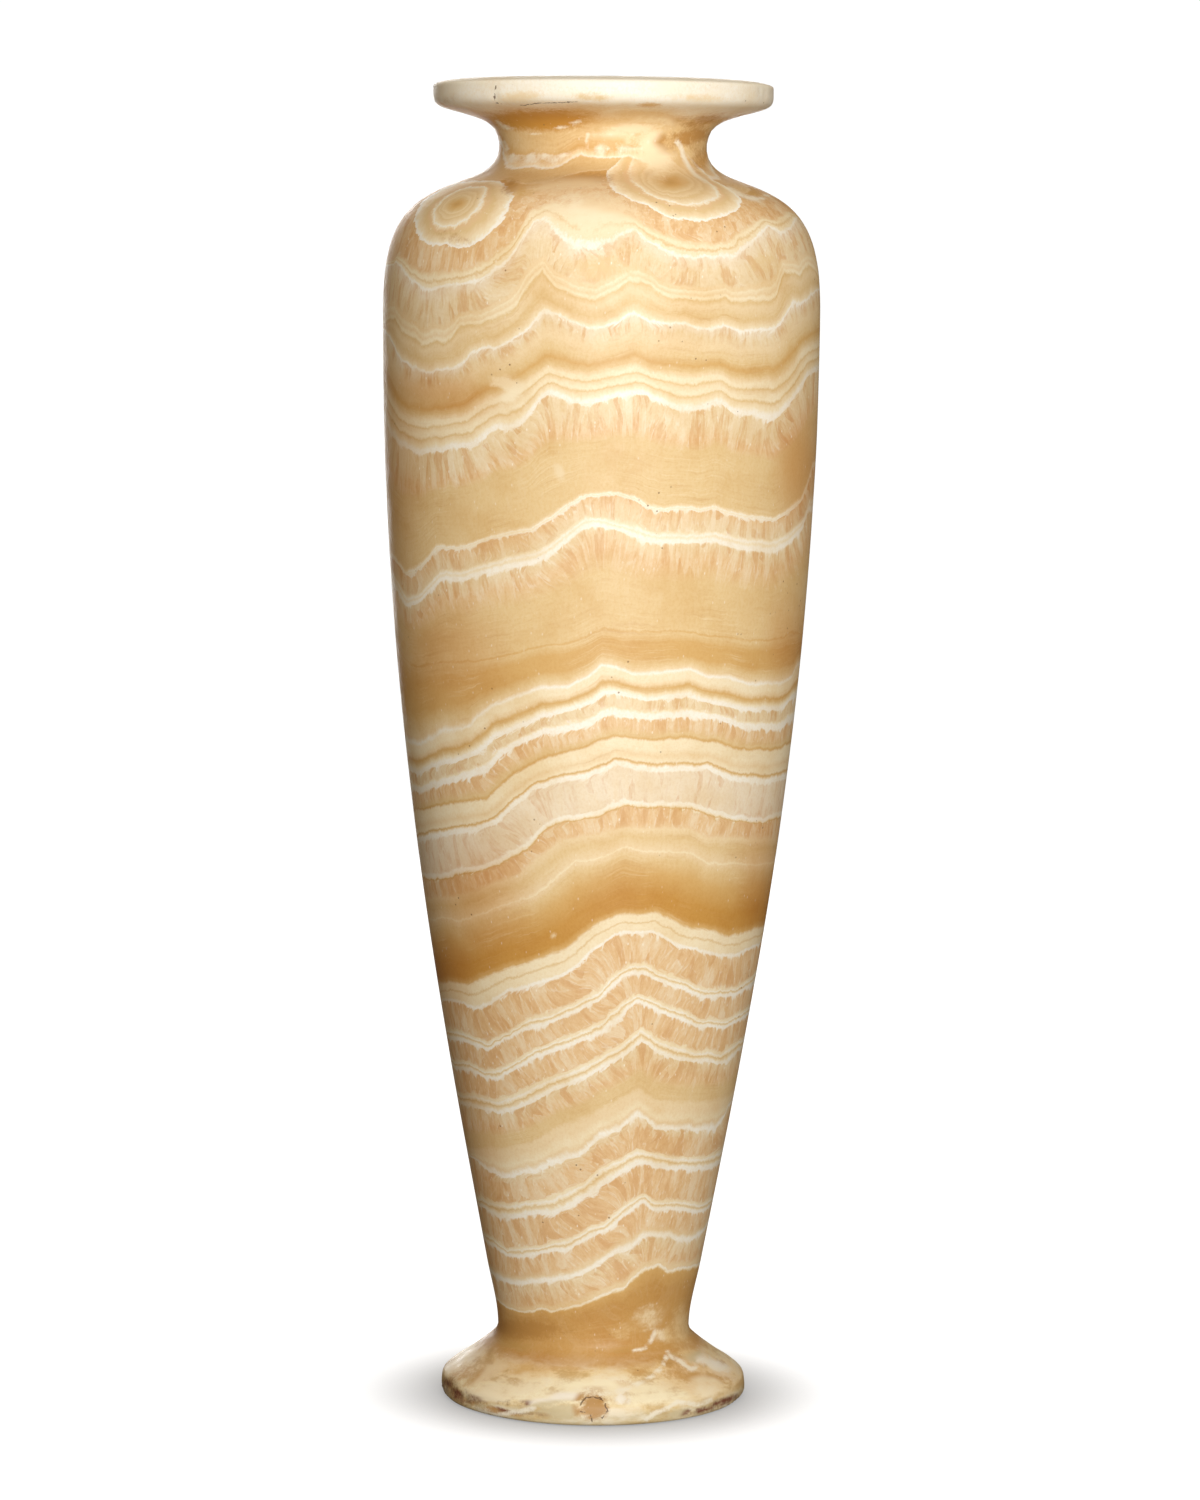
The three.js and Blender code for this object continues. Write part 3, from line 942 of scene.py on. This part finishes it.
def make_mesh(name, places, along, angles, layers):
    """One closed skin from rows of points, with its map for baking and its painted values."""
    count, steps = places.shape[:2]
    middle = places[1:-1].reshape(-1, 3)
    vertices = np.vstack([places[0, :1], middle, places[-1, :1]]) * MM

    def number(row, step):
        step = step % steps
        inner = 1 + (row - 1) * steps + step
        return np.where(row == 0, 0, np.where(row == count - 1, len(vertices) - 1, inner))

    row, step = (grid.ravel() for grid in np.meshgrid(np.arange(count - 1), np.arange(steps), indexing="ij"))
    corners = [(row, step), (row, step + 1), (row + 1, step + 1), (row + 1, step)]
    index = np.stack([number(*corner) for corner in corners], axis=1)
    turned = np.append(angles - angles[0], 2 * np.pi) / (2 * np.pi)
    spots = np.stack([np.stack([turned[s], along[r]], axis=1) for r, s in corners], axis=1)
    faces, uvs = [], []
    for face, spot in zip(index.tolist(), spots.tolist()):
        kept = [i for i in range(4) if face[i] not in face[:i]]
        faces.append([face[i] for i in kept])
        uvs.extend(spot[i] for i in kept)
    mesh = bpy.data.meshes.new(name)
    mesh.from_pydata(vertices.tolist(), [], faces)
    mesh.uv_layers.new(name="OFBake").data.foreach_set("uv", np.array(uvs, np.float32).ravel())
    for key, values in layers.items():
        width = values[0, 0].size
        parts = (values[0, :1], values[1:-1], values[-1, :1])
        flat = np.concatenate([part.reshape(-1, width) for part in parts])
        kind, field = ("FLOAT", "value") if width == 1 else ("FLOAT_VECTOR", "vector")
        mesh.attributes.new(key, kind, "POINT").data.foreach_set(field, flat.ravel().astype(np.float32))
    mesh.shade_smooth()
    mesh.update()
    return mesh


def linear(colour):
    """A colour written as on the web, in the numbers that shaders use."""
    parts = [int(colour[i : i + 2], 16) / 255 for i in (1, 3, 5)]
    return [p / 12.92 if p <= 0.04045 else ((p + 0.055) / 1.055) ** 2.4 for p in parts] + [1.0]


class Nodes:
    """A node tree under construction. Each method adds nodes and gives back the last one's output."""

    def __init__(self, owner):
        owner.use_nodes = True
        self.tree = owner.node_tree
        self.tree.nodes.clear()

    def add(self, kind, inputs, output=0, **settings):
        made = self.tree.nodes.new("ShaderNode" + kind)
        for key, value in settings.items():
            setattr(made, key, value)
        for key, value in inputs.items():
            if isinstance(value, bpy.types.NodeSocket):
                self.tree.links.new(value, made.inputs[key])
            else:
                made.inputs[key].default_value = value
        return made.outputs[output] if len(made.outputs) else made

    def math(self, operation, *values):
        return self.add("Math", dict(enumerate(values)), operation=operation)

    def vector_math(self, operation, *values, output="Vector"):
        return self.add("VectorMath", dict(enumerate(values)), output, operation=operation)

    def in_turn(self, operation, values):
        total, *rest = values
        for value in rest:
            total = self.math(operation, total, value)
        return total

    def plus(self, *values):
        return self.in_turn("ADD", values)

    def times(self, *values):
        return self.in_turn("MULTIPLY", values)

    def swing(self, noise, *reach):
        """A noise that runs from 0 to 1, turned into a swing either way, times its reach."""
        return self.times(self.plus(noise, -0.5), *reach)

    def span(self, value, low, high, start=0.0, end=1.0):
        """The value taken smoothly from start at low to end at high."""
        inputs = {"Value": value, "From Min": low, "From Max": high, "To Min": start, "To Max": end}
        return self.add("MapRange", inputs, interpolation_type="SMOOTHSTEP")

    def mix(self, share, first, second, blend="MIX"):
        return self.add("Mix", {0: share, 6: first, 7: second}, 2, data_type="RGBA", blend_type=blend)

    def tint(self, share, colour, name, blend="MIX"):
        """The colour with a share of one of the tints laid over it."""
        return self.mix(share, colour, linear(TINTS[name]), blend)

    def value(self, name, output="Fac"):
        return self.add("Attribute", {}, output, attribute_name=name)

    def vector(self, *parts):
        return self.add("CombineXYZ", dict(enumerate(parts)))

    def scaled(self, vector, factor):
        return self.add("VectorMath", {0: vector, "Scale": factor}, operation="SCALE")

    def from_segment(self, place, start, end):
        """The distance of a point from a straight piece between two places."""
        reach = end - start
        away = self.vector_math("SUBTRACT", place, start)
        along = self.vector_math("DOT_PRODUCT", away, reach / (reach @ reach), output="Value")
        foot = self.scaled(reach, self.add("Clamp", {"Value": along}))
        return self.vector_math("DISTANCE", away, foot, output="Value")

    def noise(self, vector, detail=2.0, roughness=0.5, distortion=0.0, scale=1.0, output="Fac"):
        shape = {"Detail": detail, "Roughness": roughness, "Distortion": distortion}
        return self.add("TexNoise", {"Vector": vector, "Scale": scale, **shape}, output)

    def cells(self, vector, output="Distance", **settings):
        return self.add("TexVoronoi", {"Vector": vector, "Scale": 1.0}, output, **settings)

    def ramp(self, value, stops):
        made = self.add("ValToRGB", {"Fac": value}).node
        elements = made.color_ramp.elements
        for index, (place, colour) in enumerate(stops):
            element = elements[index] if index < 2 else elements.new(place)
            element.position = place
            element.color = colour
        return made.outputs["Color"]

    def long_ramp(self, value, stops):
        """A ramp with more stops than one node holds, as ramps that take over from one another."""
        colour = None
        for start in range(0, len(stops) - 1, RAMP_STOPS - 1):
            part = stops[start : start + RAMP_STOPS]
            low, high = part[0][0], part[-1][0]
            share = self.add("MapRange", {"Value": value, "From Min": low, "From Max": high})
            here = self.ramp(share, [((place - low) / (high - low), tone) for place, tone in part])
            if colour is None:
                colour = here
            else:
                colour = self.mix(self.math("GREATER_THAN", value, low), colour, here)
        return colour


class Stone(Nodes):
    """The vase's material, with what its steps share: places, heights in the layers and kinds of stone."""

    def __init__(self, material, stops):
        super().__init__(material)
        self.place = self.scaled(self.add("TexCoord", {}, "Object"), 1 / MM)
        self.x, self.y, self.z = (self.add("SeparateXYZ", {0: self.place}, axis) for axis in "XYZ")
        self.root_x, self.root_y = self.value("root_x"), self.value("root_y")
        self.height = self.lobed_height()
        nature = self.long_ramp(self.height, [(place, [*STONES[name][1:], 0, 1]) for place, name in stops])
        self.fibrous, self.layered = (self.add("SeparateColor", {0: nature}, index) for index in range(2))
        self.needles = self.noise(self.blade("needle"), detail=3, roughness=0.6)
        self.sugar = self.noise(self.grain("sugar"), detail=3, roughness=0.7)

    def grain(self, name, height=None):
        """Places for one of the grains, by the vase's own height or another one."""
        across, along = GRAINS[name]
        height = self.z if height is None else height
        return self.vector(self.times(self.x, across), self.times(self.y, across), self.times(height, along))

    def blade(self, name):
        """Places for a grain that runs along the crystals, from their roots."""
        across, along = GRAINS[name]
        roots = [self.times(root, across) for root in (self.root_x, self.root_y)]
        return self.vector(*roots, self.times(self.height, along))

    def lobed_height(self):
        """The height in the layers, with lobes, large and small, and a slight unsteadiness of every line."""
        layer = self.value("strata")
        lobe = self.math("POWER", self.cells(self.grain("lobe", layer)), 2.0)
        scallop = self.math("POWER", self.cells(self.grain("scallop", layer)), 2.0)
        depth = self.plus(LOBE_DEPTH, self.value("unseen"))
        hanging = self.times(self.plus(lobe, -0.25), self.times(depth, -1))
        wobble = self.swing(self.noise(self.grain("wobble"), detail=3), WOBBLE)
        return self.plus(layer, hanging, self.times(scallop, -SCALLOP_DEPTH), wobble)


def stone_colour(name):
    return linear(STONES[name][0])


def stone_stops(levels):
    """The stone at each height of the layers, from the foot up, as (height, name)."""
    stops = list(RIM_STONE)
    for vein, level, lower in zip(VEINS.values(), levels, [*levels[1:], 0]):
        stops += [(level + up, stone) for up, stone in vein.get("above", [])]
        stops += [(level - down, stone) for down, stone in vein.get("below", [])]
        stops += [(level - share * (level - lower), stone) for share, stone in vein.get("within", [])]
    stops += FOOT_STONE
    for index in range(1, len(stops)):
        height = min(stops[index][0], stops[index - 1][0] - STOP_GAP)
        stops[index] = (height, stops[index][1])
    return stops[::-1]


def crystals(n, stops):
    """The colours of the layers, with crystal blades square to them that break the colours' edges."""
    bend = n.scaled(n.noise(n.place, scale=0.12, output="Color"), 0.5)
    upright = n.vector_math("ADD", n.blade("crystal"), bend)
    tones = n.add("SeparateColor", {0: n.cells(upright, "Color")}, 0)
    blades = n.noise(n.blade("blade"), detail=4, roughness=0.6, distortion=0.1)
    fringe = n.plus(n.swing(blades, n.fibrous, BLADE_FRINGE), n.swing(n.needles, NEEDLE_FRINGE))
    colour = n.long_ramp(n.plus(n.height, fringe), [(place, stone_colour(name)) for place, name in stops])
    texture = n.plus(n.times(blades, 0.55), n.times(tones, 0.17), n.times(n.needles, 0.28))
    facets = n.span(n.cells(upright, feature="DISTANCE_TO_EDGE"), 0.09, 0.0)
    colour = n.tint(n.times(facets, n.span(n.needles, 0.45, 0.62), n.fibrous, 0.4), colour, "crystal edge")
    colour = n.tint(n.times(n.span(texture, 0.48, 0.66), n.fibrous, 0.65), colour, "light blade")
    return n.tint(n.times(n.span(texture, 0.52, 0.35), n.fibrous, 0.6), colour, "dark blade")


def fine_lines(n, colour):
    """Fine lines along the layers, sugary grains, and slow clouds in the honey-coloured stone."""
    lines = n.noise(n.grain("line", n.height), detail=4, roughness=0.7)
    faint = n.times(n.layered, n.span(n.noise(n.grain("faintness")), 0.35, 0.65))
    colour = n.tint(n.times(n.span(lines, 0.5, 0.75), faint, 0.42), colour, "dark line")
    colour = n.tint(n.times(n.span(lines, 0.5, 0.3), faint, 0.4), colour, "light line")
    colour = n.tint(n.times(n.span(n.sugar, 0.42, 0.65), 0.3), colour, "sugar", "MULTIPLY")
    clouds = n.noise(n.grain("cloud"), detail=4, roughness=0.6)
    return n.tint(n.times(n.span(clouds, 0.42, 0.72), 0.5), colour, "cloud", "MULTIPLY")


def mottled_ends(n, colour):
    """Milky mottles on the rim and the foot, dull ones between them on the foot, and golden places, which are
    partly painted shade along the silhouettes and under the rim.
    """
    mottle = n.noise(n.grain("mottle"), detail=4, roughness=0.6, distortion=0.25)
    milky = n.plus(n.span(n.z, *FOOT_MILKY, 0, 0.65), n.span(n.z, *RIM_MILKY, 0, 0.7))
    colour = n.tint(n.times(n.span(mottle, 0.46, 0.68), milky), colour, "milk")
    dull = n.times(n.span(n.z, *FOOT_DULL), n.span(n.z, *FOOT_LESS_DULL, 0.6, 0.45))
    colour = n.tint(n.times(n.span(mottle, 0.5, 0.36), dull), colour, "dull")
    # Painted shade: the silhouettes and the rim's underside darkened and made more golden, with some of the
    # foot's own golden tone
    return n.tint(n.value("golden_and_edge_shade"), colour, "golden_and_edge_shade", "MULTIPLY")


def eyes(n, colour):
    """Eyes on the shoulder and the neck, with radial fibres at their fringes."""
    ragged = n.plus(n.swing(n.noise(n.grain("eye edge"), detail=4), 0.45), n.swing(n.needles, 0.3))
    tones = [(at / EYE_RINGS, stone_colour(name)) for at, name in EYE_STONE]
    for name in EYES:
        rings = n.value(name)
        torn = n.plus(rings, n.times(ragged, n.span(rings, 0, 2, 0.4, 1)))
        seen = n.times(n.span(torn, EYE_RINGS + 0.06, EYE_RINGS), n.span(n.z, *EYES_FADE))
        colour = n.mix(seen, colour, n.ramp(n.times(torn, 1 / EYE_RINGS), tones))
    return colour


def patched(n, colour):
    """Patches of other stone with cloudy edges, and pale veins that cross the layers."""
    cloudy = n.noise(n.grain("patch edge"), detail=4, roughness=0.65, distortion=0.6)
    ragged = n.plus(cloudy, -0.5, n.swing(n.sugar, 0.7))
    share = n.value("patch")
    own = n.span(n.plus(share, n.times(ragged, n.span(share, 0.02, 0.3), 0.8)), 0.15, 0.75)
    colour = n.mix(n.times(own, 0.9), colour, n.value("patch_tone", "Color"))
    seam = n.plus(n.value("seam"), n.times(ragged, 3.5), n.swing(n.needles, 1.5))
    return n.tint(n.span(seam, 3.6, 0.4, 0, 0.85), colour, "seam")


def marked(n, colour, cracks):
    """White flecks, partly the stone's own and partly painted glints off its fibrous crystals, dark pits in
    clusters and hairline cracks: the colour, and how deep the pits are.
    """
    # Painted glints and white flecks: small white dashes, stronger in the fibrous stone
    fleck_and_glint_speck = n.span(n.cells(n.grain("fleck_and_glint")), 0.16, 0.05)
    chosen = n.span(n.noise(n.grain("fleck_and_glint_field"), detail=1), 0.46, 0.56)
    flecks_and_glints = n.times(fleck_and_glint_speck, chosen, n.plus(0.5, n.times(n.fibrous, 0.5)))
    colour = n.tint(n.times(flecks_and_glints, 0.7), colour, "fleck_and_glint")
    pit = n.cells(n.vector_math("ADD", n.grain("pit"), PIT_SHIFT))
    clusters = n.span(n.noise(n.vector_math("ADD", n.grain("pit field"), PIT_FIELD_SHIFT)), 0.56, 0.62)
    pits = n.times(n.span(pit, 0.09, 0.045), clusters)
    colour = n.tint(n.times(pits, 0.7), colour, "pit")
    shaken = n.vector_math("SUBTRACT", n.noise(n.place, scale=0.7, output="Color"), (0.5, 0.5, 0.5))
    wandering = n.vector_math("MULTIPLY_ADD", shaken, (CRACK_WANDER,) * 3, n.place)
    nearest = CRACK_LIMIT
    for start, end in cracks:
        nearest = n.math("MINIMUM", nearest, n.from_segment(wandering, start, end))
    return n.tint(n.times(n.span(nearest, 0.34, 0.14), 0.85), colour, "crack"), pits


def alabaster(levels, cracks):
    """Banded alabaster: layers of honey, cream and white stone with fibres, fine lines, flecks and pits."""
    material = bpy.data.materials.new("banded alabaster")
    stops = stone_stops(levels)
    n = Stone(material, stops)
    colour = patched(n, eyes(n, mottled_ends(n, fine_lines(n, crystals(n, stops)))))
    colour, pits = marked(n, colour, cracks)
    relief = n.plus(n.times(n.noise(n.grain("relief")), 0.3), n.times(pits, -1))
    normal = n.add("Bump", {"Height": relief, "Strength": 0.35, "Distance": 0.3 * MM})
    rough = n.span(n.noise(n.grain("polish"), detail=3), 0.3, 0.7, *ROUGHNESS)
    polish = {"Roughness": rough, "IOR": 1.5, "Specular IOR Level": 0.3}
    surface = n.add("BsdfPrincipled", {"Base Color": colour, "Normal": normal, **polish})
    n.add("OutputMaterial", {"Surface": surface})
    return material


def make_vase():
    """The vase's skin, revolved from the solid's own outline, with its veins painted on."""
    rows, along, kind = rows_along(solid_outline(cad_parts["vase"]))
    angles = turns()
    places = revolve(rows, angles)
    outside = kind == "outside"
    heights = vein_heights(*in_photograph(places[outside]), rows[outside], angles)
    layer, levels = strata(places, heights)
    across, down = in_photograph(places)
    shown = outside[:, None] & (places[..., 1] < 0)
    from_front = np.degrees(np.abs(np.angle(np.exp(1j * angles))))
    layers = {"strata": layer, "unseen": smoothstep(*UNSEEN, from_front) + 0 * layer}
    for name, form in EYES.items():
        layers[name] = np.where(shown, np.minimum(in_eye(across, down, **form), EYE_LIMIT), EYE_LIMIT)
    tones, strength = patches(across, down)
    seam = np.min([thin + from_line(across, down, line) for thin, line in SEAMS], axis=0)
    layers["patch_tone"] = tones
    layers["patch"] = np.where(shown, strength, 0)
    layers["seam"] = np.where(shown, np.minimum(seam, SEAM_LIMIT), SEAM_LIMIT)
    # Painted shade along the silhouettes and under the rim, with some of the stone's own golden tone
    layers["golden_and_edge_shade"] = np.where(shown, golden_and_edge_shade(across, down), 0)
    layers["root_x"], layers["root_y"] = np.moveaxis(crystal_roots(places, heights, angles), -1, 0)
    skin = across[outside], down[outside], places[outside]
    spots = [[on_vase(*skin, spot) for spot in line] for line in CRACKS]
    cracks = [piece for line in spots for piece in zip(line[:-1], line[1:])]
    places = worn_down(places, across, down, shown, kind)
    vase = bpy.data.objects.new("vase_stone", make_mesh("vase_stone", places, along, angles, layers))
    bpy.context.scene.collection.objects.link(vase)
    vase.data.materials.append(alabaster(levels, cracks))
    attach(vase, "root")
    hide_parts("vase")


def to_the_camera(n, shown, other):
    """One shader to the camera and another one to everything else."""
    return n.add("MixShader", {0: n.add("LightPath", {}, "Is Camera Ray"), 1: other, 2: shown})


def make_floor():
    """A plain white floor, bright enough to run into the white behind it, with a soft shadow painted into its
    glow round the foot. Only the camera sees it glow.
    """
    material = bpy.data.materials.new("pale floor")
    n = Nodes(material)
    away = n.vector_math("LENGTH", n.add("TexCoord", {}, "Object"), output="Value")
    # Painted shadow: the floor's glow fades towards the foot
    strength = n.span(away, *SHADE_REACH, SHADE_GLOW, FLOOR_GLOW)
    glow = n.add("Emission", {"Color": WHITE, "Strength": strength})
    seen = n.add("AddShader", {0: n.add("BsdfDiffuse", {"Color": linear(FLOOR_COLOUR)}), 1: glow})
    lighting = n.add("BsdfDiffuse", {"Color": FLOOR_LIGHTING})
    n.add("OutputMaterial", {"Surface": to_the_camera(n, seen, lighting)})
    bpy.ops.mesh.primitive_circle_add(vertices=FLOOR_SIDES, radius=FLOOR_RADIUS, fill_type="NGON")
    floor = bpy.context.object
    floor.name = "floor"
    floor.location.z = -FLOOR_GAP
    floor.data.materials.append(material)


def make_world():
    """White where the camera looks past the vase, and a dim warm light from all round."""
    world = bpy.data.worlds.new("studio")
    bpy.context.scene.world = world
    n = Nodes(world)
    shown = n.add("Background", {"Color": WHITE, "Strength": BEHIND})
    dim = n.add("Background", {"Color": ALL_ROUND_COLOUR, "Strength": ALL_ROUND})
    n.add("OutputWorld", {"Surface": to_the_camera(n, shown, dim)})


def upright_matrix(right, up, back, place):
    rows = [[right[i], up[i], back[i], place[i]] for i in range(3)]
    return Matrix(rows + [[0, 0, 0, 1]])


def make_light(name, place, target, size, power, colour=(1, 1, 1)):
    """A soft square light at a place, turned towards a target."""
    data = bpy.data.lights.new(name, "AREA")
    data.shape = "SQUARE"
    data.size = size
    data.energy = power
    data.color = colour
    light = bpy.data.objects.new(name, data)
    back = np.array(place) - np.array(target)
    back = back / np.linalg.norm(back)
    right = np.cross((0.0, 0.0, 1.0), back)
    right = right / np.linalg.norm(right)
    light.matrix_world = upright_matrix(right, np.cross(back, right), back, place)
    bpy.context.scene.collection.objects.link(light)


def make_camera():
    """The camera that took the photograph, as fitted to it."""
    data = bpy.data.cameras.new("camera")
    data.sensor_width = SENSOR
    data.lens = FOCAL_LENGTH / PHOTO_HEIGHT * SENSOR
    data.clip_end = FARTHEST
    camera = bpy.data.objects.new("camera", data)
    right, up, ahead = camera_axes()
    camera.matrix_world = upright_matrix(right, up, -ahead, CAMERA_PLACE * MM)
    bpy.context.scene.collection.objects.link(camera)
    bpy.context.scene.camera = camera


make_camera()
make_vase()
make_floor()
make_world()
for name, settings in LIGHTS.items():
    make_light(name, *settings)
bpy.context.scene.view_settings.view_transform = "Standard"
